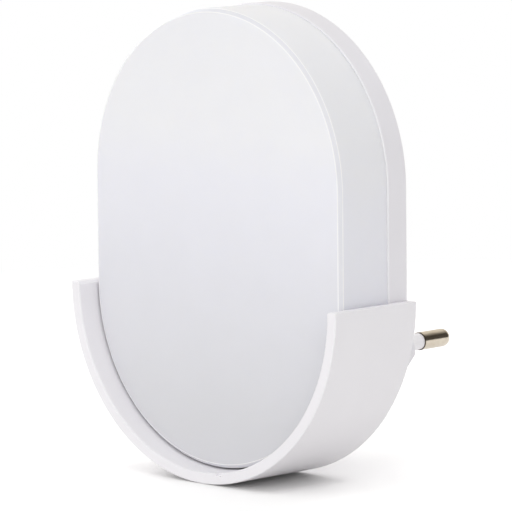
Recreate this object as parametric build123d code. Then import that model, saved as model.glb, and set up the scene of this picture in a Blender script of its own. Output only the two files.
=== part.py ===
from build123d import *
import math
import os

# A mains night light that hangs on a wall socket by its own two-pin plug.
#
# Frame: the origin lies midway between the two pins on the plug boss's engagement face.
# +Y points into the wall, so the lamp shines towards -Y.  +Z is up and +X is to the right
# as the wall is seen from behind the lamp.  All lengths are millimetres.
#
# A name that ends in _Y is a place along Y and one that ends in _Z a place along Z.

# ---------------------------------------------------------------- Europlug (EN 50075)
PIN_SPACING = 18.6            # between the pin axes at the engagement face
PIN_TIP_SPACING = 17.5        # between the pin axes at the tips: the pins lean together
PIN_LENGTH = 19.0             # from the engagement face to the tips
PIN_DIAMETER = 4.0            # bare contact part
PIN_CORE_DIAMETER = 2.8       # metal under the sleeve
PIN_TIP_ROUND = 1.5
SLEEVE_LENGTH = 10.0          # from the engagement face
SLEEVE_DIAMETER = 3.6
SLEEVE_INSET = 3.0            # length of the sleeve inside the boss
SLEEVE_RECESS_DIAMETER = 4.8  # shallow ring sunk into the boss's face around each sleeve
SLEEVE_RECESS_DEPTH = 0.4
PIN_SHOULDER_DIAMETER = 5.0
PIN_SHOULDER_LENGTH = 1.5
PIN_TAIL_DIAMETER = 1.6
BOSS_WIDTH = 35.0
BOSS_HEIGHT = 13.7
BOSS_SLANT = 4.45             # how far each pointed end reaches beyond the flat top and bottom
BOSS_END_HEIGHT = 2.2         # upright part of each pointed end
BOSS_DEPTH = 17.5             # what a recessed socket takes in
BOSS_FACE_THICKNESS = 5.0
BOSS_WALL = 2.0
BOSS_EDGE_ROUND = 0.5
RETAINER_THICKNESS = 2.0      # plate behind the pins' shoulders
RETAINER_GAP = 0.1

# ---------------------------------------------------------------- fits
FIT = 0.02                    # radial, between parts pressed or screwed together

# ---------------------------------------------------------------- plug housing pad
PAD_SIDE_BORDER = 7.5         # from the casing's opening to the pad's side
PAD_TOP_BORDER = 2.9          # from the casing's opening to the pad's top and bottom
PAD_CORNER = 9.0
PAD_DEPTH = 6.5               # holds the lamp's back this far clear of the socket's rim
PAD_WALL = 1.8
PAD_EDGE_ROUND = 0.8
PAD_LIP = 1.2                 # length of the locating lip inside the casing's opening
PAD_LIP_WALL = 1.2
PAD_LIP_GAP = 0.1             # between that lip and the opening
OPENING_CORNER = 2.0

# ---------------------------------------------------------------- lamp body
CASING_RADIUS = 37.65         # outer radius of both half-round ends
STRAIGHT = 24.3               # between the centres of the two ends
PINS_ABOVE_BOTTOM = 25.3      # pins' height above the cradle's lowest point
CASING_DEPTH = 5.9
CASING_WALL = 1.8
CASING_REAR_ROUND = 0.5
CASING_FRONT_ROUND = 0.3
DIFFUSER_LEDGE = 0.35         # casing rim that shows around the diffuser's foot
DIFFUSER_DEPTH = 14.1         # from the casing's rim to the diffuser's front edge
DIFFUSER_DOME = 0.6           # rise of the gently domed front above its edge
DIFFUSER_WALL = 1.8
DIFFUSER_EDGE_ROUND = 1.0
DIFFUSER_INNER_ROUND = 0.4
DIFFUSER_LIP = 1.2            # length of the lip that enters the casing's rim
DIFFUSER_LIP_WALL = 1.2
DIFFUSER_LIP_GAP = 0.05
CATCH_LENGTH = 6.0            # snap catches on the lip, around the rim
CATCH_HEIGHT = 0.4            # how far a catch stands out from the lip
CATCH_DEPTH = 0.6             # along Y
CATCH_SETBACK = 0.15          # from the lip's end to the catch
CATCH_CLEARANCE = 0.1

# ---------------------------------------------------------------- cradle
CRADLE_WALL = 2.5
CRADLE_DEPTH = 24.75
CRADLE_RISE = 0.25            # the ends stop this far above the lower centre
CRADLE_GAP = 0.05             # between the casing and the cradle around it
CRADLE_EDGE_ROUND = 0.3
CRADLE_END_CHAMFER = 0.6      # lead-in on the inner edge of both ends
CRADLE_LIP_WIDTH = 4.45       # rear lip that the screws clamp, seated in a rebate
CRADLE_LIP_THICKNESS = 1.2
CRADLE_SCREW_ANGLES = (-145.0, -90.0, -35.0)
GATE_MARK_WIDTH = 1.7         # small notch in the inner front edge near the lowest point
GATE_MARK_DEPTH = 0.7
GATE_MARK_OFFSET = 5.2

# ---------------------------------------------------------------- boards and sheets
BOARD_THICKNESS = 1.6
LED_BOARD_GAP = 4.6           # from the diffuser's lip to the LED board's edge
LED_BOARD_BACK_GAP = 8.3      # from the casing's floor to the LED board
LED_WIDTH = 2.8
LED_LENGTH = 3.5
LED_HEIGHT = 0.8
LED_WELL_BORDER = 0.35        # around the phosphor window
LED_WELL_CORNER = 0.5
LED_WELL_DEPTH = 0.2
LED_COLUMN_OFFSET = 14.0
LED_ROWS = 4
LED_END_OFFSET = 14.0         # outer rows beyond the centres of the ends
CHIP_LENGTH = 3.2
CHIP_WIDTH = 1.6
CHIP_HEIGHT = 0.55
REFLECTOR_THICKNESS = 0.5
REFLECTOR_MARGIN = 1.5        # the reflector sheet reaches this far beyond the board
WINDOW_CLEARANCE = 0.4
INSULATION_WIDTH = 40.0
INSULATION_HEIGHT = 26.0
INSULATION_THICKNESS = 0.3
INSULATION_MARGIN = 1.0       # it stays this far inside the LED board's edge
SHEET_CORNER = 2.0
DRIVER_WIDTH = 27.8
DRIVER_HEIGHT = 17.0
DRIVER_STANDOFF = 1.1         # from the pad's floor to the driver board
DRIVER_GAP = 0.3              # between the board's edge and the locating lip
FOOT_WIDTH = 3.0              # feet on the pad's floor under the board's corners
FOOT_HEIGHT = 2.0
POST_DIAMETER = 5.0
POST_EDGE = 6.0               # from the LED board's side to the post's middle
POST_RISE = 4.0               # posts stand this far inside the straight, from both its ends

# ---------------------------------------------------------------- driver parts
# A place is X and Z on the board; all parts stand on its front face.
DROPPER_LENGTH = 13.0
DROPPER_WIDTH = 6.0
DROPPER_HEIGHT = 11.0
DROPPER_PLACE = (-3.5, 5.3)
DROPPER_LEG_PITCH = 10.0
SMOOTHING_DIAMETER = 8.0
SMOOTHING_HEIGHT = 10.5
SMOOTHING_PLACE = (1.4, -4.4)
SMOOTHING_LEG_PITCH = 3.5
SMOOTHING_GROOVE = 0.3        # depth and half the width of the rolled groove
SMOOTHING_GROOVE_HEIGHT = 1.5
CAN_CHAMFER = 0.4
BRIDGE_LENGTH = 4.7
BRIDGE_WIDTH = 3.9
BRIDGE_HEIGHT = 2.5
BRIDGE_FOOT = 0.7
BRIDGE_FOOT_PITCH = 2.5
BRIDGE_STANDOFF = 0.2
BRIDGE_PLACE = (6.9, 4.9)
FUSE_DIAMETER = 2.4
FUSE_LENGTH = 5.0
FUSE_LEG_PITCH = 7.4
FUSE_RAISE = 0.5              # between the fusible resistor and the board
FUSE_EDGE = 4.7               # from the board's left edge to the fusible resistor's middle
FUSE_Z = -5.6
BLEEDER_EDGE = 2.5            # from the board's right edge to the bleeder resistors' middle
BLEEDER_ROWS = (-6.8, -4.2)
LEG_DIAMETER = 0.6
LEG_BEND = 0.6
LEG_PROUD = 0.7               # how far legs and pin tails stand out behind or before the board
HOLE_CLEARANCE = 0.15         # radial, around legs in the board
WIRE_DIAMETER = 1.3
WIRE_BEND = 3.0
LED_LEAD_STARTS = ((6.4, 0.6), (12.2, 2.0))
LED_LEAD_LANDING_Z = 16.0
SWITCH_LEAD_EDGES = (2.4, 1.3)         # from the driver board's left edge to where each starts
SWITCH_LEAD_ROWS = (1.6, -1.4)
SWITCH_LEAD_STRAIGHTS = (9.0, 7.0)     # last run of each lead, along X into its terminal

# ---------------------------------------------------------------- slide switch
SWITCH_TRAVEL = 2.5
SWITCH_LENGTH = 8.6           # along Z
SWITCH_WIDTH = 4.0            # along Y
SWITCH_DEPTH = 3.5            # along X
SWITCH_WALL = 0.35
SWITCH_INSET = 1.6            # from the casing's inner wall to the switch frame
SWITCH_BASE_THICKNESS = 1.0
SWITCH_RIB = 1.2              # ribs on the casing's floor at both ends of the switch
NECK_OFFSET = 0.4             # the slider's neck is this much in front of the switch's middle
FOOT_DEPTH = 1.0              # slider's foot, along X
FOOT_SPAN = 2.6               # along Y
FOOT_LENGTH = 2.8             # along Z
NECK_WIDTH = 1.8              # along Y
NECK_LENGTH = 2.0             # along Z
SLIDE_CLEARANCE = 0.2
BUTTON_LENGTH = 7.6
BUTTON_WIDTH = 3.2
BUTTON_THICKNESS = 1.5
BUTTON_SOCKET = 0.75
BUTTON_FLOOR_GAP = 0.15       # between the button and the floor of its recess
BUTTON_RECESS = 0.8
BUTTON_CORNER = 0.7
BUTTON_EDGE_ROUND = 0.35
BUTTON_GROOVES = 5
BUTTON_GROOVE_PITCH = 1.1
BUTTON_GROOVE_DEPTH = 0.27
TERMINAL_PITCH = 2.5
TERMINAL_LENGTH = 2.2
TERMINAL_THICKNESS = 0.4
TERMINAL_WIDTH = 0.8
CONTACT_THICKNESS = 0.2
CONTACT_WIDTH = 1.8
CONTACT_LENGTH = 2.6
CONTACT_GAP = 0.1             # between the contact's feelers and the terminals

# ---------------------------------------------------------------- screws
SCREW_THREAD = 2.2            # outer size of the thread, which clearance holes pass
SCREW_CORE = 1.8              # the shank is modelled at its core size, as wide as its pilot hole
SCREW_HEAD = 3.8
SCREW_HEAD_HEIGHT = 1.2
SCREW_HEAD_CHAMFER = 0.45
SCREW_CLEARANCE = 0.1
HOUSING_SCREW_LENGTH = 6.0
BOARD_SCREW_LENGTH = 5.0
CRADLE_SCREW_LENGTH = 3.6
PILOT_SPARE = 0.6             # pilot holes are this much deeper than the screws
CROSS_WIDTH = 0.55
CROSS_LENGTH = 2.0
CROSS_DEPTH = 0.7
HOUSING_BOSS_DIAMETER = 5.0
CRADLE_BOSS_DIAMETER = 4.4
CRADLE_BOSS_GAP = 0.2         # between those bosses and the diffuser's lip

# ---------------------------------------------------------------- places worked out from these
PAD_FRONT_Y = -(BOSS_DEPTH + PAD_DEPTH)
LIP_ALLOWANCE = DRIVER_GAP + PAD_LIP_WALL + PAD_LIP_GAP
OPENING_WIDTH = DRIVER_WIDTH + 2 * LIP_ALLOWANCE
OPENING_HEIGHT = DRIVER_HEIGHT + 2 * LIP_ALLOWANCE
PAD_WIDTH = OPENING_WIDTH + 2 * PAD_SIDE_BORDER
PAD_HEIGHT = OPENING_HEIGHT + 2 * PAD_TOP_BORDER
PAD_REAR_Y = -BOSS_DEPTH
PAD_FLOOR_Y = PAD_REAR_Y - PAD_WALL
REAR_Y = PAD_FRONT_Y
FLOOR_Y = REAR_Y - CASING_WALL
RIM_Y = REAR_Y - CASING_DEPTH
CRADLE_FRONT_Y = REAR_Y - CRADLE_DEPTH
DIFFUSER_EDGE_Y = RIM_Y - DIFFUSER_DEPTH
DIFFUSER_RADIUS = CASING_RADIUS - DIFFUSER_LEDGE
CRADLE_INNER = CASING_RADIUS + CRADLE_GAP
CRADLE_RADIUS = CRADLE_INNER + CRADLE_WALL
LOWER_CENTRE_Z = CRADLE_RADIUS - PINS_ABOVE_BOTTOM
UPPER_CENTRE_Z = LOWER_CENTRE_Z + STRAIGHT
LED_BOARD_REAR_Y = FLOOR_Y - LED_BOARD_BACK_GAP
LED_BOARD_FRONT_Y = LED_BOARD_REAR_Y - BOARD_THICKNESS
REFLECTOR_FRONT_Y = LED_BOARD_FRONT_Y - REFLECTOR_THICKNESS
DRIVER_REAR_Y = PAD_FLOOR_Y - DRIVER_STANDOFF
DRIVER_FRONT_Y = DRIVER_REAR_Y - BOARD_THICKNESS
SHOULDER_Y = -BOSS_FACE_THICKNESS
RETAINER_REAR_Y = SHOULDER_Y - PIN_SHOULDER_LENGTH
TAIL_END_Y = DRIVER_FRONT_Y - LEG_PROUD
LEAN = math.atan2((PIN_SPACING - PIN_TIP_SPACING) / 2, PIN_LENGTH)
CRADLE_SCREW_RADIUS = CRADLE_INNER - CRADLE_LIP_WIDTH / 2
HOUSING_SCREW_X = PAD_WIDTH / 2 - PAD_WALL - HOUSING_BOSS_DIAMETER / 2
HOUSING_SCREW_Z = PAD_HEIGHT / 2 - PAD_WALL - HOUSING_BOSS_DIAMETER / 2
LIP_RADIUS = CASING_RADIUS - CASING_WALL - DIFFUSER_LIP_GAP
LIP_END_Y = RIM_Y + DIFFUSER_LIP
LED_BOARD_RADIUS = LIP_RADIUS - DIFFUSER_LIP_WALL - LED_BOARD_GAP
POST_OFFSET = LED_BOARD_RADIUS - POST_EDGE
FUSE_PLACE = (FUSE_EDGE - DRIVER_WIDTH / 2, FUSE_Z)
BLEEDER_PLACES = [(DRIVER_WIDTH / 2 - BLEEDER_EDGE, z) for z in BLEEDER_ROWS]
SWITCH_Y = FLOOR_Y - SWITCH_WIDTH / 2
SWITCH_Z = LOWER_CENTRE_Z + STRAIGHT / 2
NECK_Y = SWITCH_Y + NECK_OFFSET
SWITCH_OUTER_X = -(CASING_RADIUS - CASING_WALL) + SWITCH_INSET
SWITCH_INNER_X = SWITCH_OUTER_X + SWITCH_DEPTH
BUTTON_INNER_X = -CASING_RADIUS + BUTTON_RECESS - BUTTON_FLOOR_GAP
BUTTON_OUTER_X = BUTTON_INNER_X - BUTTON_THICKNESS
FOOT_OUTER_X = SWITCH_OUTER_X + SWITCH_WALL + SLIDE_CLEARANCE
FOOT_INNER_X = FOOT_OUTER_X + FOOT_DEPTH
SLOT_LENGTH = NECK_LENGTH + SWITCH_TRAVEL + 2 * SLIDE_CLEARANCE
SLOT_WIDTH = NECK_WIDTH + 2 * SLIDE_CLEARANCE
SLIDER_REST_Z = SWITCH_Z - SWITCH_TRAVEL / 2


# ---------------------------------------------------------------- helpers
def slab(outline, back, front):
    """Solid of a flat outline (drawn in X and Z) that reaches from Y = back to Y = front."""
    return extrude(Plane.XZ.offset(-back) * outline, amount=back - front)


def block(x_size, y_size, z_size, x, y, z):
    """Box centred on a point."""
    return Pos(x, y, z) * Box(x_size, y_size, z_size)


def rod(diameter, back, front, x, z):
    """Cylinder along Y at X and Z, from Y = back to Y = front."""
    return slab(Pos(x, z) * Circle(diameter / 2), back, front)


def stadium(radius):
    """The lamp's pill outline with its half-round ends at the given radius."""
    middle = (LOWER_CENTRE_Z + UPPER_CENTRE_Z) / 2
    return Pos(0, middle) * SlotCenterToCenter(STRAIGHT, 2 * radius, rotation=90)


def edges_at(solid, y):
    """Every edge that lies wholly in the plane Y = y."""
    return solid.edges().filter_by_position(Axis.Y, y - 0.001, y + 0.001)


def cross_recess(x, head_y, z, inwards):
    """Cross-shaped driver recess cut from a screw head at Y = head_y."""
    middle_y = head_y + inwards * CROSS_DEPTH / 2
    upright = block(CROSS_WIDTH, CROSS_DEPTH, CROSS_LENGTH, x, middle_y, z)
    level = block(CROSS_LENGTH, CROSS_DEPTH, CROSS_WIDTH, x, middle_y, z)
    return upright + level


def pan_screw(x, seat_y, z, length):
    """Pan-head screw driven towards +Y; its head sits at Y = seat_y."""
    top_y = seat_y - SCREW_HEAD_HEIGHT
    head = rod(SCREW_HEAD, seat_y, top_y, x, z)
    head = chamfer(edges_at(head, top_y), length=SCREW_HEAD_CHAMFER)
    shank = rod(SCREW_CORE, seat_y + length, seat_y, x, z)
    return head + shank - cross_recess(x, top_y, z, 1)


def countersink(head, hole, top_y, end_y, x, z):
    """Cone that narrows at 45 degrees from its flat top towards -Y, and the shank after it."""
    height = (head - hole) / 2
    cone = Pos(x, top_y - height / 2, z) * Rot(90, 0, 0) * Cone(head / 2, hole / 2, height)
    return cone + rod(hole, top_y - height, end_y, x, z)


def flush_screw(x, top_y, z, length):
    """Countersunk screw driven towards -Y; its flat top is at Y = top_y."""
    return countersink(SCREW_HEAD, SCREW_CORE, top_y, top_y - length, x, z) - cross_recess(x, top_y, z, -1)


def flush_seat(x, top_y, z, thickness):
    """What a countersunk screw's seat takes away from a plate of the given thickness."""
    play = 2 * SCREW_CLEARANCE
    return countersink(SCREW_HEAD + play, SCREW_THREAD + play, top_y, top_y - thickness - 1, x, z)


def corners(x_offset, z_offset):
    """X and Z of a rectangle's four corners about the origin."""
    return [(sx * x_offset, sz * z_offset) for sx in (-1, 1) for sz in (-1, 1)]


def housing_screw_places():
    """X and Z of the screws that hold the plug housing to the casing."""
    return corners(HOUSING_SCREW_X, HOUSING_SCREW_Z)


def board_post_places():
    """X and Z of the four posts that carry the LED board."""
    heights = (LOWER_CENTRE_Z + POST_RISE, UPPER_CENTRE_Z - POST_RISE)
    return [(sx * POST_OFFSET, z) for sx in (-1, 1) for z in heights]


def cradle_screw_places():
    """X and Z of the screws that clamp the cradle's rear lip."""
    places = []
    for angle in CRADLE_SCREW_ANGLES:
        turn = math.radians(angle)
        x = CRADLE_SCREW_RADIUS * math.cos(turn)
        z = LOWER_CENTRE_Z + CRADLE_SCREW_RADIUS * math.sin(turn)
        places.append((x, z))
    return places


def led_places():
    """X and Z of the LEDs: two columns and evenly spaced rows."""
    low = LOWER_CENTRE_Z - LED_END_OFFSET
    step = (UPPER_CENTRE_Z + LED_END_OFFSET - low) / (LED_ROWS - 1)
    return [(sx * LED_COLUMN_OFFSET, low + row * step) for sx in (-1, 1) for row in range(LED_ROWS)]


def chip_places():
    """X and Z of the chip resistors, midway between the two LED columns."""
    rows = sorted({z for _, z in led_places()})
    return [(0.0, (low + high) / 2) for low, high in zip(rows, rows[1:])]


# ---------------------------------------------------------------- diffuser
def domed_pill(radius, back, edge_y, rise, edge_round):
    """Pill-shaped solid with upright sides, a rounded front edge and a gently domed front."""
    profile = make_face(
        Polyline((-radius, edge_y), (-radius, back), (radius, back), (radius, edge_y))
        + SagittaArc((-radius, edge_y), (radius, edge_y), -rise)
    )
    corners = profile.vertices().filter_by_position(Axis.Y, edge_y - 0.001, edge_y + 0.001)
    profile = fillet(corners, radius=edge_round)
    half = profile & Pos(radius, 0) * Rectangle(2 * radius, 4 * radius)
    lower = revolve(Pos(0, 0, LOWER_CENTRE_Z) * half, Axis((0, 0, LOWER_CENTRE_Z), (0, 1, 0)), 360)
    upper = revolve(Pos(0, 0, UPPER_CENTRE_Z) * half, Axis((0, 0, UPPER_CENTRE_Z), (0, 1, 0)), 360)
    middle = extrude(Pos(0, 0, LOWER_CENTRE_Z) * profile, amount=STRAIGHT)
    return lower + middle + upper


def catches(grow):
    """Snap catches around the diffuser's lip, or with grow above zero their pockets."""
    side_z = LOWER_CENTRE_Z + STRAIGHT / 8
    places = [(0, side_z), (180, side_z)]
    places += [(angle, UPPER_CENTRE_Z) for angle in (15, 90, 165)]
    places += [(angle, LOWER_CENTRE_Z) for angle in (-62, -118)]
    outline = Rectangle(CATCH_LENGTH + 2 * grow, 2 * (CATCH_HEIGHT + grow))
    back = LIP_END_Y - CATCH_SETBACK
    made = []
    for angle, centre_z in places:
        turn = math.radians(angle)
        spot = Pos(LIP_RADIUS * math.cos(turn), centre_z + LIP_RADIUS * math.sin(turn))
        made.append(slab(spot * Rot(0, 0, angle + 90) * outline, back + grow, back - CATCH_DEPTH - grow))
    return made


def make_diffuser():
    """Opal cap: a thin shell, a lip that enters the casing's rim and snap catches on it."""
    shell = domed_pill(DIFFUSER_RADIUS, RIM_Y, DIFFUSER_EDGE_Y, DIFFUSER_DOME, DIFFUSER_EDGE_ROUND)
    lip = slab(stadium(LIP_RADIUS), LIP_END_Y, RIM_Y)
    inner_edge_y = DIFFUSER_EDGE_Y + DIFFUSER_WALL
    hollow = domed_pill(
        LIP_RADIUS - DIFFUSER_LIP_WALL, LIP_END_Y, inner_edge_y, DIFFUSER_DOME, DIFFUSER_INNER_ROUND
    )
    return shell + lip - hollow + catches(0)


# ---------------------------------------------------------------- casing
def opening_outline(shrink):
    """Outline of the opening in the casing's back, drawn smaller all round by shrink."""
    return RectangleRounded(OPENING_WIDTH - 2 * shrink, OPENING_HEIGHT - 2 * shrink, OPENING_CORNER - shrink)


def casing_tray():
    """Plain tray with rounded rear and front edges."""
    tray = slab(stadium(CASING_RADIUS), REAR_Y, RIM_Y)
    tray = fillet(edges_at(tray, REAR_Y), radius=CASING_REAR_ROUND)
    tray = fillet(edges_at(tray, RIM_Y), radius=CASING_FRONT_ROUND)
    return tray - slab(stadium(CASING_RADIUS - CASING_WALL), FLOOR_Y, RIM_Y - 1)


def cradle_rebate():
    """What the casing's rear edge loses so that the cradle's lip lies flush in it."""
    ring = Pos(0, CRADLE_GAP) * lower_arc(CRADLE_RADIUS)
    ring -= lower_disc(CRADLE_INNER - CRADLE_LIP_WIDTH - CRADLE_GAP)
    return slab(ring, REAR_Y + 1, REAR_Y - CRADLE_LIP_THICKNESS)


def button_recess():
    """Shallow recess for the button in the casing's left side and the slot in its floor."""
    length = BUTTON_LENGTH + SWITCH_TRAVEL + 2 * SLIDE_CLEARANCE
    width = BUTTON_WIDTH + 2 * SLIDE_CLEARANCE
    floor_x = -CASING_RADIUS + BUTTON_RECESS
    recess = block(2 * BUTTON_RECESS, width, length, floor_x - BUTTON_RECESS, NECK_Y, SWITCH_Z)
    slot = block(2 * CASING_WALL, SLOT_WIDTH, SLOT_LENGTH, floor_x, NECK_Y, SWITCH_Z)
    return recess + slot


def switch_ribs():
    """Two ribs on the casing's floor that hold the slide switch between them."""
    middle_x = (SWITCH_OUTER_X + SWITCH_INNER_X) / 2
    offset = (SWITCH_LENGTH + SWITCH_RIB) / 2
    return [block(SWITCH_DEPTH, SWITCH_WIDTH, SWITCH_RIB, middle_x, SWITCH_Y, SWITCH_Z + side * offset)
            for side in (-1, 1)]


def make_rear_casing():
    """Casing tray with posts, screw bosses, switch ribs, cradle rebate and all openings."""
    tray = casing_tray() + switch_ribs()
    pilot = SCREW_CORE + 2 * FIT
    for x, z in board_post_places():
        grip = BOARD_SCREW_LENGTH - BOARD_THICKNESS - REFLECTOR_THICKNESS
        tray += rod(POST_DIAMETER, FLOOR_Y, LED_BOARD_REAR_Y, x, z)
        tray -= rod(pilot, LED_BOARD_REAR_Y + grip + PILOT_SPARE, LED_BOARD_REAR_Y - 1, x, z)
    for x, z in cradle_screw_places():
        tray += rod(CRADLE_BOSS_DIAMETER, FLOOR_Y, LIP_END_Y + CRADLE_BOSS_GAP, x, z)
        tray -= rod(pilot, REAR_Y + 1, REAR_Y - CRADLE_SCREW_LENGTH - PILOT_SPARE, x, z)
    for x, z in housing_screw_places():
        tray -= rod(SCREW_THREAD + 2 * SCREW_CLEARANCE, REAR_Y + 1, FLOOR_Y - 1, x, z)
    tray -= slab(opening_outline(0), REAR_Y + 1, FLOOR_Y - 1)
    tray -= catches(CATCH_CLEARANCE)
    return tray - cradle_rebate() - button_recess()


# ---------------------------------------------------------------- cradle
def lower_arc(radius):
    """Disc about the lower centre, cut off level just above that centre."""
    below = Circle(radius) & Pos(0, CRADLE_RISE - radius) * Rectangle(2 * radius, 2 * radius)
    return Pos(0, LOWER_CENTRE_Z) * below


def lower_disc(radius):
    """Whole disc about the lower centre."""
    return Pos(0, LOWER_CENTRE_Z) * Circle(radius)


def end_lead_ins():
    """Prisms that bevel the inner edges of the cradle's two ends."""
    side_length = CRADLE_END_CHAMFER * math.sqrt(2)
    square = Rot(0, 0, 45) * Rectangle(side_length, side_length)
    top_z = LOWER_CENTRE_Z + CRADLE_RISE
    return [slab(Pos(side * CRADLE_INNER, top_z) * square, REAR_Y + 1, CRADLE_FRONT_Y - 1)
            for side in (-1, 1)]


def make_cradle():
    """Half-round wall that stands proud of the diffuser, with its screwed rear lip."""
    wall = slab(lower_arc(CRADLE_RADIUS) - lower_disc(CRADLE_INNER), REAR_Y, CRADLE_FRONT_Y)
    wall = fillet(edges_at(wall, CRADLE_FRONT_Y), radius=CRADLE_EDGE_ROUND)
    rear_arc = edges_at(wall, REAR_Y).filter_by(GeomType.CIRCLE).sort_by(SortBy.RADIUS)[-1:]
    wall = fillet(rear_arc, radius=CRADLE_EDGE_ROUND)
    wall -= end_lead_ins()
    lip_inner = CRADLE_INNER - CRADLE_LIP_WIDTH
    lip_outline = lower_arc(CRADLE_INNER + CRADLE_WALL / 2) - lower_disc(lip_inner)
    lip = slab(lip_outline, REAR_Y, REAR_Y - CRADLE_LIP_THICKNESS)
    wall += lip
    for x, z in cradle_screw_places():
        wall -= flush_seat(x, REAR_Y, z, CRADLE_LIP_THICKNESS)
    gate_z = LOWER_CENTRE_Z - math.sqrt(CRADLE_INNER ** 2 - GATE_MARK_OFFSET ** 2)
    return wall - block(GATE_MARK_WIDTH, 2 * GATE_MARK_DEPTH, 2 * GATE_MARK_DEPTH,
                        GATE_MARK_OFFSET, CRADLE_FRONT_Y, gate_z)


# ---------------------------------------------------------------- plug
def boss_outline(shrink):
    """Flattened hexagon of the Europlug's boss, drawn smaller all round by shrink."""
    half_width = BOSS_WIDTH / 2
    half_height = BOSS_HEIGHT / 2
    half_flat = half_width - BOSS_SLANT
    half_end = BOSS_END_HEIGHT / 2
    right = [(half_width, -half_end), (half_width, half_end), (half_flat, half_height)]
    left = [(-half_flat, half_height), (-half_width, half_end), (-half_width, -half_end)]
    under = [(-half_flat, -half_height), (half_flat, -half_height)]
    outline = make_face(Polyline(*right, *left, *under, close=True))
    return offset(outline, amount=-shrink, kind=Kind.INTERSECTION) if shrink else outline


def along_pin(side, diameter, back, front):
    """Cylinder on the axis of one pin; back and front are measured along the pin."""
    upright = Pos(0, (back + front) / 2, 0) * Rot(90, 0, 0) * Cylinder(diameter / 2, back - front)
    return Pos(side * PIN_SPACING / 2, 0, 0) * Rot(0, 0, side * math.degrees(LEAN)) * upright


def pins(diameter, back, front):
    """The same cylinder on both pin axes."""
    return [along_pin(side, diameter, back, front) for side in (-1, 1)]


def housing_pad():
    """Raised pad, open towards the casing, with its locating lip, screw bosses and board feet."""
    pad = slab(RectangleRounded(PAD_WIDTH, PAD_HEIGHT, PAD_CORNER), PAD_REAR_Y, PAD_FRONT_Y)
    pad = fillet(edges_at(pad, PAD_REAR_Y), radius=PAD_EDGE_ROUND)
    inner_width = PAD_WIDTH - 2 * PAD_WALL
    inner_height = PAD_HEIGHT - 2 * PAD_WALL
    inside = RectangleRounded(inner_width, inner_height, PAD_CORNER - PAD_WALL)
    pad -= slab(inside, PAD_FLOOR_Y, PAD_FRONT_Y - 1)
    lip = opening_outline(PAD_LIP_GAP) - opening_outline(PAD_LIP_GAP + PAD_LIP_WALL)
    pad += slab(lip, PAD_FLOOR_Y, PAD_FRONT_Y - PAD_LIP)
    for x, z in housing_screw_places():
        pad += rod(HOUSING_BOSS_DIAMETER, PAD_FLOOR_Y, PAD_FRONT_Y, x, z)
    for x, z in corners((DRIVER_WIDTH - FOOT_WIDTH) / 2, (DRIVER_HEIGHT - FOOT_HEIGHT) / 2):
        foot_y = PAD_FLOOR_Y - DRIVER_STANDOFF / 2
        pad += block(FOOT_WIDTH, DRIVER_STANDOFF, FOOT_HEIGHT, x, foot_y, z)
    return pad


def make_plug_housing():
    """Hollow boss on the raised pad; the pins stand in the boss's thick face."""
    boss = slab(boss_outline(0), 0, PAD_REAR_Y)
    boss = fillet(edges_at(boss, 0), radius=BOSS_EDGE_ROUND)
    body = boss + housing_pad()
    body -= slab(boss_outline(BOSS_WALL), SHOULDER_Y, PAD_FLOOR_Y - 1)
    for x, z in housing_screw_places():
        end_y = FLOOR_Y + HOUSING_SCREW_LENGTH + PILOT_SPARE
        body -= rod(SCREW_CORE + 2 * FIT, end_y, PAD_FRONT_Y - 1, x, z)
    body -= pins(SLEEVE_RECESS_DIAMETER, 1, -SLEEVE_RECESS_DEPTH)
    body -= pins(SLEEVE_DIAMETER + 2 * FIT, 0, -SLEEVE_INSET)
    body -= pins(PIN_CORE_DIAMETER + 2 * FIT, 0, SHOULDER_Y)
    return body - pins(PIN_SHOULDER_DIAMETER + 2 * FIT, SHOULDER_Y, RETAINER_REAR_Y)


def make_plug_pin(side):
    """One pin: round tip, core under the sleeve, shoulder inside the boss and solder tail."""
    tip = along_pin(side, PIN_DIAMETER, PIN_LENGTH, SLEEVE_LENGTH)
    tip = fillet(tip.edges().sort_by(Axis.Y)[-1:], radius=PIN_TIP_ROUND)
    core = along_pin(side, PIN_CORE_DIAMETER, SLEEVE_LENGTH, SHOULDER_Y)
    shoulder = along_pin(side, PIN_SHOULDER_DIAMETER, SHOULDER_Y, RETAINER_REAR_Y)
    tail = along_pin(side, PIN_TAIL_DIAMETER, RETAINER_REAR_Y, TAIL_END_Y)
    return tip + core + shoulder + tail


def make_pin_sleeve(side):
    """Insulating sleeve around one pin's core."""
    outside = along_pin(side, SLEEVE_DIAMETER, SLEEVE_LENGTH, -SLEEVE_INSET)
    return outside - along_pin(side, PIN_CORE_DIAMETER + 2 * FIT, PIN_LENGTH, SHOULDER_Y)


def make_pin_retainer():
    """Plate welded into the boss that traps both pins' shoulders."""
    plate = slab(boss_outline(BOSS_WALL + RETAINER_GAP), SHOULDER_Y, RETAINER_REAR_Y - RETAINER_THICKNESS)
    plate -= pins(PIN_SHOULDER_DIAMETER + 2 * FIT, 0, RETAINER_REAR_Y)
    return plate - pins(PIN_TAIL_DIAMETER + 2 * FIT, SHOULDER_Y, TAIL_END_Y)


# ---------------------------------------------------------------- boards, LEDs and sheets
def board_screw_holes(back, front):
    """Clearance holes for the board screws."""
    diameter = SCREW_THREAD + 2 * SCREW_CLEARANCE
    return [rod(diameter, back + 1, front - 1, x, z) for x, z in board_post_places()]


def make_led_board():
    """Pill-shaped board on the four posts."""
    board = slab(stadium(LED_BOARD_RADIUS), LED_BOARD_REAR_Y, LED_BOARD_FRONT_Y)
    return board - board_screw_holes(LED_BOARD_REAR_Y, LED_BOARD_FRONT_Y)


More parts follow.
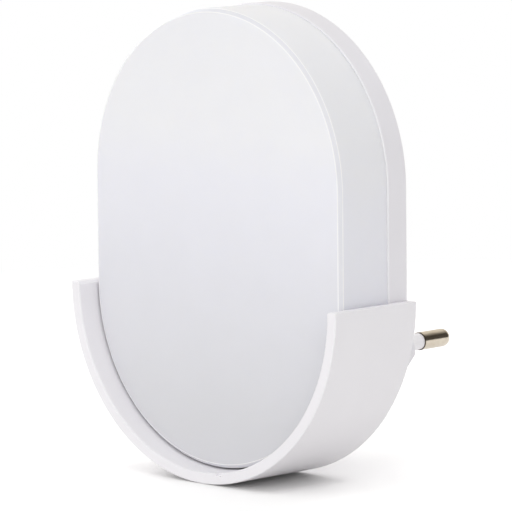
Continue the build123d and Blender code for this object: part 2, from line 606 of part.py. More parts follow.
def make_leds():
    """All LEDs as separate packages, each with a shallow well for its phosphor."""
    top_y = LED_BOARD_FRONT_Y - LED_HEIGHT
    well_length = LED_LENGTH - 2 * LED_WELL_BORDER
    well_width = LED_WIDTH - 2 * LED_WELL_BORDER
    well = RectangleRounded(well_length, well_width, LED_WELL_CORNER)
    packages = []
    for x, z in led_places():
        package = block(LED_LENGTH, LED_HEIGHT, LED_WIDTH, x, LED_BOARD_FRONT_Y - LED_HEIGHT / 2, z)
        packages.append(package - slab(Pos(x, z) * well, top_y + LED_WELL_DEPTH, top_y - 1))
    return Compound(children=packages)


def chips(places, face_y):
    """Chip resistors that lie along X on a board's front face."""
    middle_y = face_y - CHIP_HEIGHT / 2
    return Compound(children=[block(CHIP_LENGTH, CHIP_HEIGHT, CHIP_WIDTH, x, middle_y, z) for x, z in places])


def window(place, length, width):
    """Window in the reflector sheet around one part on the board."""
    outline = Rectangle(length + 2 * WINDOW_CLEARANCE, width + 2 * WINDOW_CLEARANCE)
    return slab(Pos(*place) * outline, LED_BOARD_FRONT_Y + 1, REFLECTOR_FRONT_Y - 1)


def make_reflector_sheet():
    """White sheet over the board with a window for each LED and chip."""
    sheet = slab(stadium(LED_BOARD_RADIUS + REFLECTOR_MARGIN), LED_BOARD_FRONT_Y, REFLECTOR_FRONT_Y)
    sheet -= [window(place, LED_LENGTH, LED_WIDTH) for place in led_places()]
    sheet -= [window(place, CHIP_LENGTH, CHIP_WIDTH) for place in chip_places()]
    return sheet - board_screw_holes(LED_BOARD_FRONT_Y, REFLECTOR_FRONT_Y)


def make_insulating_sheet():
    """Sheet stuck to the LED board's rear, between it and the mains parts."""
    outline = RectangleRounded(INSULATION_WIDTH, INSULATION_HEIGHT, SHEET_CORNER)
    outline &= stadium(LED_BOARD_RADIUS - INSULATION_MARGIN)
    return slab(outline, LED_BOARD_REAR_Y + INSULATION_THICKNESS, LED_BOARD_REAR_Y)


def leg_pair(place, pitch):
    """X and Z of two legs that stand side by side about a part's place."""
    return [(place[0] + side * pitch / 2, place[1]) for side in (-1, 1)]


def make_driver_board():
    """Small board in the pad, soldered to the pins' tails."""
    board = slab(Rectangle(DRIVER_WIDTH, DRIVER_HEIGHT), DRIVER_REAR_Y, DRIVER_FRONT_Y)
    board -= pins(PIN_TAIL_DIAMETER + 2 * HOLE_CLEARANCE, PAD_FLOOR_Y, LED_BOARD_REAR_Y)
    legs = leg_pair(DROPPER_PLACE, DROPPER_LEG_PITCH) + leg_pair(SMOOTHING_PLACE, SMOOTHING_LEG_PITCH)
    legs += leg_pair(FUSE_PLACE, FUSE_LEG_PITCH)
    for x, z in legs:
        board -= rod(LEG_DIAMETER + 2 * HOLE_CLEARANCE, DRIVER_REAR_Y + 1, DRIVER_FRONT_Y - 1, x, z)
    return board


def legs_through_board(place, pitch):
    """Straight legs from a part's underside to just behind the board."""
    return [rod(LEG_DIAMETER, DRIVER_REAR_Y + LEG_PROUD, DRIVER_FRONT_Y, x, z)
            for x, z in leg_pair(place, pitch)]


def make_dropper_capacitor():
    """Film capacitor that drops the mains voltage: a box with two legs."""
    x, z = DROPPER_PLACE
    middle_y = DRIVER_FRONT_Y - DROPPER_HEIGHT / 2
    body = block(DROPPER_LENGTH, DROPPER_HEIGHT, DROPPER_WIDTH, x, middle_y, z)
    body = chamfer(body.edges().filter_by(Axis.Y), length=CAN_CHAMFER)
    return body + legs_through_board(DROPPER_PLACE, DROPPER_LEG_PITCH)


def make_smoothing_capacitor():
    """Electrolytic can on its two legs, with the rolled groove near its base."""
    x, z = SMOOTHING_PLACE
    top_y = DRIVER_FRONT_Y - SMOOTHING_HEIGHT
    groove_y = DRIVER_FRONT_Y - SMOOTHING_GROOVE_HEIGHT
    can = rod(SMOOTHING_DIAMETER, DRIVER_FRONT_Y, top_y, x, z)
    can = chamfer(edges_at(can, top_y), length=CAN_CHAMFER)
    ring = Circle(SMOOTHING_DIAMETER) - Circle(SMOOTHING_DIAMETER / 2 - SMOOTHING_GROOVE)
    can -= slab(Pos(x, z) * ring, groove_y + SMOOTHING_GROOVE, groove_y - SMOOTHING_GROOVE)
    return can + legs_through_board(SMOOTHING_PLACE, SMOOTHING_LEG_PITCH)


def make_bridge_rectifier():
    """Flat rectifier package with four short feet."""
    x, z = BRIDGE_PLACE
    thickness = BRIDGE_HEIGHT - BRIDGE_STANDOFF
    middle_y = DRIVER_FRONT_Y - BRIDGE_STANDOFF - thickness / 2
    body = block(BRIDGE_LENGTH, thickness, BRIDGE_WIDTH, x, middle_y, z)
    foot_y = DRIVER_FRONT_Y - BRIDGE_FOOT / 2
    for dx, dz in corners(BRIDGE_FOOT_PITCH / 2, BRIDGE_WIDTH / 2):
        body += block(BRIDGE_FOOT, BRIDGE_FOOT, 2 * BRIDGE_FOOT, x + dx, foot_y, z + dz)
    return body


def make_fusible_resistor():
    """Fusible resistor lying along X on one wire whose ends turn down through the board."""
    x, z = FUSE_PLACE
    axis_y = DRIVER_FRONT_Y - FUSE_RAISE - FUSE_DIAMETER / 2
    end_y = DRIVER_REAR_Y + LEG_PROUD
    left, right = (leg[0] for leg in leg_pair(FUSE_PLACE, FUSE_LEG_PITCH))
    body = Pos(x, axis_y, z) * Rot(0, 90, 0) * Cylinder(FUSE_DIAMETER / 2, FUSE_LENGTH)
    body = chamfer(body.edges().filter_by(GeomType.CIRCLE), length=CAN_CHAMFER)
    ends = ((left, end_y, z), (left, axis_y, z), (right, axis_y, z), (right, end_y, z))
    return body + bent_rod(ends, LEG_DIAMETER, LEG_BEND)


# ---------------------------------------------------------------- wires
def bent_rod(points, diameter, bend):
    """Round rod of straight runs joined by tangent arcs."""
    path = FilletPolyline(*points, radius=bend)
    section = Plane(origin=path @ 0, z_dir=path % 0) * Circle(diameter / 2)
    return sweep(section, path=path)


def make_led_lead(start):
    """Lead from the driver board's front up to the rear of the LED board."""
    x, z = start
    middle_y = (DRIVER_FRONT_Y + LED_BOARD_REAR_Y) / 2
    points = [(x, DRIVER_FRONT_Y, z), (x, middle_y, z)]
    points += [(x, middle_y, LED_LEAD_LANDING_Z), (x, LED_BOARD_REAR_Y, LED_LEAD_LANDING_Z)]
    return bent_rod(points, WIRE_DIAMETER, WIRE_BEND)


def make_switch_lead(index, terminal):
    """Lead from the driver board's front to the end of one of the switch's terminals."""
    x = SWITCH_LEAD_EDGES[index] - DRIVER_WIDTH / 2
    z = SWITCH_LEAD_ROWS[index]
    last_run = SWITCH_LEAD_STRAIGHTS[index]
    end_x = SWITCH_INNER_X + TERMINAL_LENGTH
    end_z = SWITCH_Z + terminal * TERMINAL_PITCH
    points = [(x, DRIVER_FRONT_Y, z), (x, SWITCH_Y, z)]
    points += [(end_x + last_run, SWITCH_Y, end_z), (end_x, SWITCH_Y, end_z)]
    return bent_rod(points, WIRE_DIAMETER, WIRE_BEND)


# ---------------------------------------------------------------- slide switch
def make_switch_frame():
    """Steel frame around the switch, with the slot for the slider's neck."""
    middle_x = (SWITCH_OUTER_X + SWITCH_INNER_X) / 2
    frame = block(SWITCH_DEPTH, SWITCH_WIDTH, SWITCH_LENGTH, middle_x, SWITCH_Y, SWITCH_Z)
    width = SWITCH_WIDTH - 2 * SWITCH_WALL
    length = SWITCH_LENGTH - 2 * SWITCH_WALL
    frame -= block(SWITCH_DEPTH, width, length, middle_x + SWITCH_WALL, SWITCH_Y, SWITCH_Z)
    return frame - block(4 * SWITCH_WALL, SLOT_WIDTH, SLOT_LENGTH, SWITCH_OUTER_X, NECK_Y, SWITCH_Z)


def terminal_blades():
    """Three flat terminals, flush with the base's inner face and long outside it."""
    length = SWITCH_BASE_THICKNESS + TERMINAL_LENGTH
    middle_x = SWITCH_INNER_X + TERMINAL_LENGTH - length / 2
    blade = Box(length, TERMINAL_THICKNESS, TERMINAL_WIDTH)
    return [Pos(middle_x, SWITCH_Y, SWITCH_Z + place * TERMINAL_PITCH) * blade for place in (-1, 0, 1)]


def make_switch_base():
    """Insulating base that closes the frame and carries the terminals."""
    middle_x = SWITCH_INNER_X - SWITCH_BASE_THICKNESS / 2
    width = SWITCH_WIDTH - 2 * SWITCH_WALL
    length = SWITCH_LENGTH - 2 * SWITCH_WALL
    return block(SWITCH_BASE_THICKNESS, width, length, middle_x, SWITCH_Y, SWITCH_Z) - terminal_blades()


def make_switch_slider():
    """Slider: a foot inside the frame and a neck that reaches into the button."""
    foot_x = (FOOT_OUTER_X + FOOT_INNER_X) / 2
    foot = block(FOOT_DEPTH, FOOT_SPAN, FOOT_LENGTH, foot_x, SWITCH_Y, SLIDER_REST_Z)
    tip_x = BUTTON_INNER_X - BUTTON_SOCKET
    neck_length = FOOT_OUTER_X - tip_x
    return foot + block(neck_length, NECK_WIDTH, NECK_LENGTH, tip_x + neck_length / 2, NECK_Y, SLIDER_REST_Z)


def make_switch_contact():
    """Springy bridge on the slider's foot whose two feelers reach for the terminals."""
    middle_x = FOOT_INNER_X + CONTACT_THICKNESS / 2
    plate = block(CONTACT_THICKNESS, CONTACT_WIDTH, CONTACT_LENGTH, middle_x, SWITCH_Y, SLIDER_REST_Z)
    reach = SWITCH_INNER_X - SWITCH_BASE_THICKNESS - CONTACT_GAP - FOOT_INNER_X
    offset = (CONTACT_LENGTH - CONTACT_THICKNESS) / 2
    for side in (-1, 1):
        z = SLIDER_REST_Z + side * offset
        plate += block(reach, CONTACT_WIDTH, CONTACT_THICKNESS, FOOT_INNER_X + reach / 2, SWITCH_Y, z)
    return plate


def make_switch_button():
    """Grooved button in the casing's left side, pressed onto the slider's neck."""
    middle_x = (BUTTON_INNER_X + BUTTON_OUTER_X) / 2
    cap = block(BUTTON_THICKNESS, BUTTON_WIDTH, BUTTON_LENGTH, middle_x, NECK_Y, SLIDER_REST_Z)
    cap = fillet(cap.edges().filter_by(Axis.X), radius=BUTTON_CORNER)
    outside = cap.edges().filter_by_position(Axis.X, BUTTON_OUTER_X - 0.001, BUTTON_OUTER_X + 0.001)
    cap = fillet(outside, radius=BUTTON_EDGE_ROUND)
    side_length = BUTTON_GROOVE_DEPTH * math.sqrt(2)
    groove = Rot(0, 45, 0) * Box(side_length, 2 * BUTTON_WIDTH, side_length)
    for index in range(BUTTON_GROOVES):
        z = SLIDER_REST_Z + (index - (BUTTON_GROOVES - 1) / 2) * BUTTON_GROOVE_PITCH
        cap -= Pos(BUTTON_OUTER_X, NECK_Y, z) * groove
    return cap - block(2 * BUTTON_SOCKET, NECK_WIDTH, NECK_LENGTH, BUTTON_INNER_X, NECK_Y, SLIDER_REST_Z)


# ---------------------------------------------------------------- screws
def make_housing_screws():
    """Four screws from inside the casing into the plug housing."""
    places = housing_screw_places()
    return Compound(children=[pan_screw(x, FLOOR_Y, z, HOUSING_SCREW_LENGTH) for x, z in places])


def make_board_screws():
    """Four screws that hold the reflector sheet and the LED board to the posts."""
    places = board_post_places()
    return Compound(children=[pan_screw(x, REFLECTOR_FRONT_Y, z, BOARD_SCREW_LENGTH) for x, z in places])


def make_cradle_screws():
    """Countersunk screws through the cradle's rear lip into the casing."""
    places = cradle_screw_places()
    return Compound(children=[flush_screw(x, REAR_Y, z, CRADLE_SCREW_LENGTH) for x, z in places])


def make_nodes():
    """Every named sub-part of the lamp."""
    return {
        "diffuser": make_diffuser(),
        "rear_casing": make_rear_casing(),
        "cradle": make_cradle(),
        "plug_housing": make_plug_housing(),
        "plug_pin_left": make_plug_pin(-1),
        "plug_pin_right": make_plug_pin(1),
        "pin_sleeve_left": make_pin_sleeve(-1),
        "pin_sleeve_right": make_pin_sleeve(1),
        "pin_retainer": make_pin_retainer(),
        "led_board": make_led_board(),
        "leds": make_leds(),
        "led_resistors": chips(chip_places(), LED_BOARD_FRONT_Y),
        "reflector_sheet": make_reflector_sheet(),
        "insulating_sheet": make_insulating_sheet(),
        "driver_board": make_driver_board(),
        "dropper_capacitor": make_dropper_capacitor(),
        "smoothing_capacitor": make_smoothing_capacitor(),
        "bridge_rectifier": make_bridge_rectifier(),
        "fusible_resistor": make_fusible_resistor(),
        "bleeder_resistors": chips(BLEEDER_PLACES, DRIVER_FRONT_Y),
        "led_lead_positive": make_led_lead(LED_LEAD_STARTS[0]),
        "led_lead_negative": make_led_lead(LED_LEAD_STARTS[1]),
        "switch_lead_live": make_switch_lead(0, 0),
        "switch_lead_load": make_switch_lead(1, -1),
        "switch_frame": make_switch_frame(),
        "switch_base": make_switch_base(),
        "switch_terminals": Compound(children=terminal_blades()),
        "switch_slider": make_switch_slider(),
        "switch_contact": make_switch_contact(),
        "switch_button": make_switch_button(),
        "housing_screws": make_housing_screws(),
        "board_screws": make_board_screws(),
        "cradle_screws": make_cradle_screws(),
    }


os.makedirs("parts", exist_ok=True)
for node, shape in make_nodes().items():
    export_step(shape, f"parts/{node}.step")
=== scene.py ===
"""Dresses a mains night light: an opal lamp in a moulded casing, its cradle, its plug and its works."""

import logging
import math
from dataclasses import dataclass
from enum import Enum

import bmesh
import bpy
from mathutils import Matrix, Vector


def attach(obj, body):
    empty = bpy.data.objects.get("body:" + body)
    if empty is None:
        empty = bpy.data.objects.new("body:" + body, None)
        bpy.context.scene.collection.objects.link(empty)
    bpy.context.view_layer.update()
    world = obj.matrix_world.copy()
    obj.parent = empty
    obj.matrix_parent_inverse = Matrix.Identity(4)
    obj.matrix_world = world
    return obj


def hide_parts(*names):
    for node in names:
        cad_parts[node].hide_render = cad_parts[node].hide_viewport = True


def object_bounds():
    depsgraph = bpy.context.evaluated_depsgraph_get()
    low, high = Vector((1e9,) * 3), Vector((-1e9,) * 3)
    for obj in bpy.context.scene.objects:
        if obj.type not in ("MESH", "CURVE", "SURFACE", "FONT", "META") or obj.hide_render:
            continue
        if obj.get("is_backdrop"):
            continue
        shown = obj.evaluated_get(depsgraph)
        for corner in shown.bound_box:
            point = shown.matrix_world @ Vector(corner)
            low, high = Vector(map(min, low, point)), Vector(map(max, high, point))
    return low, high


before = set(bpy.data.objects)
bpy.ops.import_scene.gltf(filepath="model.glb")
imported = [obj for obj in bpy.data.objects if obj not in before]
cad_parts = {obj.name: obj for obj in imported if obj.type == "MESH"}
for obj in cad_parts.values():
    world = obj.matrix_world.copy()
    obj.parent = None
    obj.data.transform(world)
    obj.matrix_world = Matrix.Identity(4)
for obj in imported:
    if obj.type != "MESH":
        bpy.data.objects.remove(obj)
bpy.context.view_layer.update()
LOG = logging.getLogger("night_light")

Colour = tuple[float, float, float]
Point = tuple[float, float, float]
MM = 0.001
WHITE_LIGHT: Colour = (1.0, 1.0, 1.0)
EVEN: Point = (1.0, 1.0, 1.0)
LIGHT_PATHS: Colour = (1.0, 0.98, 0.94)


class Body(Enum):
    """The two bodies that pieces ride on."""

    LAMP = "lamp"
    SWITCH = "switch"


def srgb(red: float, green: float, blue: float) -> Colour:
    """Turns 0 to 255 display values into linear light.

    Args:
        red: Display red.
        green: Display green.
        blue: Display blue.

    Returns:
        The linear colour.
    """
    def linear(value: float) -> float:
        """Linear value of one display channel."""
        part = value / 255
        return part / 12.92 if part <= 0.04045 else ((part + 0.055) / 1.055) ** 2.4

    return linear(red), linear(green), linear(blue)


class Shader:
    """A material's node tree with short calls for what the finishes need."""

    BUMP_SAMPLES = 4
    EDGE_SAMPLES = 6
    EDGE_MATCH = (0.93, 0.998)

    def __init__(self, name: str) -> None:
        """Starts an empty node material.

        Args:
            name: The material's name.
        """
        self.material = bpy.data.materials.new(name)
        self.material.use_nodes = True
        self.tree = self.material.node_tree
        self.tree.nodes.clear()
        self.output = self.tree.nodes.new("ShaderNodeOutputMaterial")

    def add(self, kind: str, **inputs: object) -> bpy.types.Node:
        """Adds a node.

        Args:
            kind: The node type without its ShaderNode prefix.
            **inputs: Socket values, sockets to link from, or node settings, with _ for a space.

        Returns:
            The new node.
        """
        node = self.tree.nodes.new("ShaderNode" + kind)
        for name, value in inputs.items():
            if hasattr(node, name) and name not in node.inputs:
                setattr(node, name, value)
                continue
            self.feed(node, name.replace("_", " "), value)
        return node

    def feed(self, node: bpy.types.Node, name: str | int, value: object) -> None:
        """Sets one input, or links a socket to it.

        Args:
            node: The node whose input it is.
            name: The input's name or number.
            value: A plain value or a socket.
        """
        if isinstance(value, bpy.types.NodeSocket):
            self.tree.links.new(value, node.inputs[name])
        else:
            node.inputs[name].default_value = value

    def place(self) -> bpy.types.NodeSocket:
        """The point in the lamp's own frame, in metres."""
        return self.add("TexCoord").outputs["Object"]

    def noise(self, size: float, detail: float = 3.0, stretch: Point = EVEN) -> bpy.types.NodeSocket:
        """Adds cloudy noise.

        Args:
            size: Length of one cloud in metres.
            detail: Octaves of finer noise.
            stretch: Scale along each axis.

        Returns:
            The noise value, around a half.
        """
        mapping = self.add("Mapping", Vector=self.place())
        self.feed(mapping, "Scale", stretch)
        node = self.add("TexNoise", Vector=mapping.outputs["Vector"])
        self.feed(node, "Scale", 1.0 / size)
        self.feed(node, "Detail", detail)
        return node.outputs["Fac"]

    def blend(self, share: object, low: object, high: object) -> bpy.types.NodeSocket:
        """Mixes two colours.

        Args:
            share: Socket or number from 0 for low to 1 for high.
            low: First colour, linear, or a socket.
            high: Second colour, linear, or a socket.

        Returns:
            The mixed colour.
        """
        node = self.tree.nodes.new("ShaderNodeMix")
        node.data_type = "RGBA"
        self.feed(node, 0, share)
        for slot, value in ((6, low), (7, high)):
            self.feed(node, slot, (*value, 1.0) if isinstance(value, tuple) else value)
        return node.outputs[2]

    def span(self, value: bpy.types.NodeSocket, low: float, high: float, start: float = 0.3,
             end: float = 0.7) -> bpy.types.NodeSocket:
        """Maps a value to a range.

        Args:
            value: The socket to map.
            low: Result at start.
            high: Result at end.
            start: Input that gives low.
            end: Input that gives high.

        Returns:
            The mapped value, held within the range.
        """
        node = self.add("MapRange", Value=value)
        for name, number in (("From Min", start), ("From Max", end), ("To Min", low), ("To Max", high)):
            self.feed(node, name, number)
        return node.outputs["Result"]

    def sum(self, first: object, second: object, operation: str = "ADD") -> bpy.types.NodeSocket:
        """Joins two numbers.

        Args:
            first: First socket or number.
            second: Second socket or number.
            operation: The math node's operation.

        Returns:
            The result.
        """
        node = self.tree.nodes.new("ShaderNodeMath")
        node.operation = operation
        self.feed(node, 0, first)
        self.feed(node, 1, second)
        return node.outputs[0]

    def bump(self, height: bpy.types.NodeSocket, depth: float, softened_edge: float) -> bpy.types.NodeSocket:
        """Relief on top of edges that are rounded a little.

        Args:
            height: The relief's height, 0 to 1.
            depth: What a height of 1 stands for, in metres.
            softened_edge: Radius by which hard edges catch the light, in metres.

        Returns:
            The normal.
        """
        node = self.add("Bump", Height=height)
        self.feed(node, "Distance", depth)
        if softened_edge:
            bevel = self.tree.nodes.new("ShaderNodeBevel")
            bevel.samples = self.BUMP_SAMPLES
            bevel.inputs["Radius"].default_value = softened_edge
            self.feed(node, "Normal", bevel.outputs["Normal"])
        return node.outputs["Normal"]

    def edges(self, reach: float, strength: float) -> bpy.types.NodeSocket:
        """Finds crisp edges, to paint a highlight along them.

        Args:
            reach: How far from the edge it tells, in metres.
            strength: Result on the edge itself.

        Returns:
            The share, 0 away from edges.
        """
        bevel = self.tree.nodes.new("ShaderNodeBevel")
        bevel.samples = self.EDGE_SAMPLES
        bevel.inputs["Radius"].default_value = reach
        alike = self.add("VectorMath", operation="DOT_PRODUCT")
        self.feed(alike, 0, bevel.outputs["Normal"])
        self.feed(alike, 1, self.add("NewGeometry").outputs["Normal"])
        return self.span(alike.outputs["Value"], strength, 0.0, *self.EDGE_MATCH)

    def surface(self, **inputs: object) -> bpy.types.Material:
        """Ends the tree with the main shader.

        Args:
            **inputs: The main shader's inputs, with _ for a space.

        Returns:
            The finished material.
        """
        node = self.add("BsdfPrincipled", **inputs)
        self.tree.links.new(node.outputs["BSDF"], self.output.inputs["Surface"])
        return self.material


@dataclass(frozen=True)
class Moulded:
    """Injection-moulded plastic with a fine eroded skin."""

    name: str
    colour: Colour
    shade: Colour
    roughness: float = 0.42
    spread: float = 0.05
    grain: float = 0.16 * MM
    relief: float = 0.006 * MM
    softened_edge: float = 0.12 * MM
    painted_edge_highlight: float = 0.0
    edge_highlight_strength: float = 0.9
    cloud_size: float = 22 * MM
    handled_size: float = 6 * MM

    def material(self) -> bpy.types.Material:
        """Builds the material.

        Returns:
            The plastic's material.
        """
        shader = Shader(self.name)
        cloud = shader.noise(self.cloud_size, 2.0)
        colour = shader.blend(shader.span(cloud, 0.0, 1.0), self.colour, self.shade)
        # Painted highlight: crisp edges are blended towards white.
        if self.painted_edge_highlight:
            edges = shader.edges(self.painted_edge_highlight, self.edge_highlight_strength)
            colour = shader.blend(edges, colour, WHITE_LIGHT)
        handled = shader.noise(self.handled_size, 4.0)
        roughness = shader.span(handled, self.roughness - self.spread, self.roughness + self.spread)
        skin = shader.noise(self.grain, 2.0)
        normal = shader.bump(skin, self.relief, self.softened_edge)
        return shader.surface(Base_Color=colour, Roughness=roughness, Normal=normal)


@dataclass(frozen=True)
class Opal:
    """Milky diffuser: light sinks in, and painted shade darkens the front where the cradle shades its
    inside, with painted highlights along its edge.
    """

    name: str
    colour: Colour
    painted_shade_colour: Colour
    painted_shade_below: float
    painted_shade_clear_above: float
    side_share: float = 0.45
    roughness: float = 0.4
    grain: float = 0.25 * MM
    relief: float = 0.002 * MM
    depth_of_light: float = 0.3 * MM
    chamfer_painted_shade_colour: Colour = srgb(232, 232, 236)
    chamfer_painted_shade_span: tuple[float, float] = (0.002, 0.02)
    painted_highlight_from: tuple[float, float] = (0.004, 0.03)
    painted_highlight_to: tuple[float, float] = (0.2, 0.243)
    front_span: tuple[float, float] = (0.6, 0.98)
    cloud_size: float = 9 * MM
    cloud_share: float = 0.05
    handled_size: float = 5 * MM
    spread: float = 0.03

    def paint_edge_shade_and_highlights(self, shader: Shader, facing: bpy.types.NodeSocket, colour: bpy.types.NodeSocket,
                    ) -> bpy.types.NodeSocket:
        """Paints shade on the chamfer's flat and highlights on its two rounds.

        Args:
            shader: The node tree to add to.
            facing: Y part of the surface's normal.
            colour: The colour of the faces.

        Returns:
            The colour with the painted shade and painted highlights laid in.
        """
        off = shader.sum(shader.sum(facing, facing, "MULTIPLY"), -0.5)
        off = shader.sum(off, off, "MULTIPLY")
        # Painted shade: the chamfer's flat takes a darker colour.
        colour = shader.blend(shader.span(off, 1.0, 0.0, *self.chamfer_painted_shade_span), colour, self.chamfer_painted_shade_colour)
        # Painted highlight: the two small rounds beside the chamfer are blended towards white.
        rounds = shader.sum(shader.span(off, 0.0, 1.0, *self.painted_highlight_from),
                            shader.span(off, 1.0, 0.0, *self.painted_highlight_to), "MULTIPLY")
        return shader.blend(rounds, colour, WHITE_LIGHT)

    def material(self) -> bpy.types.Material:
        """Builds the material.

        Returns:
            The diffuser's material.
        """
        shader = Shader(self.name)
        parts = shader.add("SeparateXYZ", Vector=shader.place())
        # Painted shade: the colour darkens towards the bottom, more on the front than on the sides, with a
        # faint cloud of random tone added on top.
        height = shader.span(parts.outputs["Z"], 1.0, 0.0, self.painted_shade_below, self.painted_shade_clear_above)
        facing = shader.add("SeparateXYZ", Vector=shader.add("TexCoord").outputs["Normal"])
        forward = shader.sum(facing.outputs["Y"], -1.0, "MULTIPLY")
        front = shader.span(forward, self.side_share, 1.0, *self.front_span)
        cloud = shader.span(shader.noise(self.cloud_size, 3.0), 0.0, self.cloud_share)
        painted_shade_and_cloud = shader.sum(shader.sum(height, front, "MULTIPLY"), cloud)
        colour = shader.blend(painted_shade_and_cloud, self.colour, self.painted_shade_colour)
        colour = self.paint_edge_shade_and_highlights(shader, facing.outputs["Y"], colour)
        handled = shader.noise(self.handled_size, 4.0)
        roughness = shader.span(handled, self.roughness - self.spread, self.roughness + self.spread)
        normal = shader.bump(shader.noise(self.grain, 2.0), self.relief, 0.0)
        return shader.surface(Base_Color=colour, Roughness=roughness, Normal=normal, Subsurface_Weight=1.0,
                              Subsurface_Radius=LIGHT_PATHS, Subsurface_Scale=self.depth_of_light)


@dataclass(frozen=True)
class Plated:
    """Metal with drawing marks or a bright plated skin."""

    name: str
    colour: Colour
    tarnish: Colour
    roughness: float = 0.24
    lines: Point = (1.0, 0.04, 1.0)
    relief: float = 0.0015 * MM
    painted_shade_ring_at: float = 0.0
    painted_shade_ring_half: float = 0.09 * MM
    painted_shade_ring_fade: float = 1.8
    painted_shade_ring_colour: Colour = srgb(58, 48, 38)
    tarnish_size: float = 3 * MM
    tarnish_span: tuple[float, float] = (0.42, 0.72)
    mark_size: float = 0.12 * MM
    mark_shares: tuple[float, float] = (0.7, 1.35)
    softened_edge: float = 0.08 * MM

    def material(self) -> bpy.types.Material:
        """Builds the material.

        Returns:
            The metal's material.
        """
        shader = Shader(self.name)
        cloud = shader.noise(self.tarnish_size, 5.0)
        colour = shader.blend(shader.span(cloud, 0.0, 1.0, *self.tarnish_span), self.colour, self.tarnish)
        # Painted shade: a dark ring is painted round the pin where its sleeve ends.
        if self.painted_shade_ring_at:
            depth = shader.add("SeparateXYZ", Vector=shader.place()).outputs["Y"]
            far = shader.sum(depth, -self.painted_shade_ring_at)
            away = shader.sum(shader.sum(far, far, "MULTIPLY"), 0.5, "POWER")
            painted_shade_ring = shader.span(away, 0.9, 0.0, self.painted_shade_ring_half, self.painted_shade_ring_half * self.painted_shade_ring_fade)
            colour = shader.blend(painted_shade_ring, colour, self.painted_shade_ring_colour)
        marks = shader.noise(self.mark_size, 3.0, self.lines)
        roughness = shader.span(marks, *(self.roughness * share for share in self.mark_shares))
        normal = shader.bump(marks, self.relief, self.softened_edge)
        return shader.surface(Base_Color=colour, Roughness=roughness, Normal=normal, Metallic=1.0)


@dataclass(frozen=True)
class Laminate:
    """Glass-cloth board under a lacquer, with the weave just telling."""

    name: str
    colour: Colour
    weave_colour: Colour
    weave: float = 0.42 * MM
    roughness: float = 0.36
    wave_pace: float = 0.31
    waviness: float = 0.6
    stain_size: float = 5 * MM
    spread: float = 0.08
    relief: float = 0.006 * MM

    def material(self) -> bpy.types.Material:
        """Builds the material.

        Returns:
            The board's material.
        """
        shader = Shader(self.name)
        waves = []
        for direction in ("X", "Z"):
            node = shader.add("TexWave", Vector=shader.place())
            node.wave_type = "BANDS"
            node.bands_direction = direction
            shader.feed(node, "Scale", self.wave_pace / self.weave)
            shader.feed(node, "Distortion", self.waviness)
            waves.append(node.outputs["Fac"])
        cloth = shader.sum(waves[0], waves[1], "MULTIPLY")
        colour = shader.blend(cloth, self.colour, self.weave_colour)
        stain = shader.noise(self.stain_size)
        roughness = shader.span(stain, self.roughness - self.spread, self.roughness + self.spread)
        normal = shader.bump(cloth, self.relief, 0.0)
        return shader.surface(Base_Color=colour, Roughness=roughness, Normal=normal)


class MeshWork:
    """Collects points and faces of one piece, in millimetres, and turns them into an object."""

    WELD = 1e-6
    SLIVER = 1e-7

    def __init__(self, name: str) -> None:
        """Starts an empty piece.

        Args:
            name: The piece's name.
        """
        self.name = name
        self.points: list[Point] = []
        self.faces: list[tuple[int, ...]] = []

    def skin(self, rings: list[list[Point]], close_ends: bool = False) -> None:
        """Joins rings of equally many points with faces.

        Args:
            rings: Closed rings, one after the other along the surface.
            close_ends: Whether the first and last ring get a flat face.
        """
        start, count = len(self.points), len(rings[0])
        for ring in rings:
            self.points += ring
        for row in range(len(rings) - 1):
            low = start + row * count
            for step in range(count):
                after = (step + 1) % count
                self.faces.append((low + step, low + after, low + count + after, low + count + step))
        if close_ends:
            last = start + (len(rings) - 1) * count
            self.faces.append(tuple(start + step for step in reversed(range(count))))
            self.faces.append(tuple(last + step for step in range(count)))

    def finish(self, material: bpy.types.Material, body: Body, slot: str, sharp_angle: float = 32.0,
               ) -> bpy.types.Object:
        """Cleans the mesh and hands the piece to the frame.

        Args:
            material: The piece's finish.
            body: The body that it rides on.
            slot: Not used.
            sharp_angle: Edges that turn by more degrees than this stay crisp.

        Returns:
            The piece.
        """
        mesh = bpy.data.meshes.new(self.name)
        mesh.from_pydata([tuple(value * MM for value in point) for point in self.points], [], self.faces)
        work = bmesh.new()
        work.from_mesh(mesh)
        bmesh.ops.remove_doubles(work, verts=work.verts, dist=self.WELD)
        bmesh.ops.dissolve_degenerate(work, edges=work.edges, dist=self.SLIVER)
        bmesh.ops.recalc_face_normals(work, faces=work.faces)
        for edge in work.edges:
            edge.smooth = len(edge.link_faces) == 2 and edge.calc_face_angle(0.0) < math.radians(sharp_angle)
        for face in work.faces:
            face.smooth = True
        work.to_mesh(mesh)
        work.free()
        mesh.materials.append(material)
        piece = bpy.data.objects.new(self.name, mesh)
        bpy.context.scene.collection.objects.link(piece)
        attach(piece, body.value)
        return piece


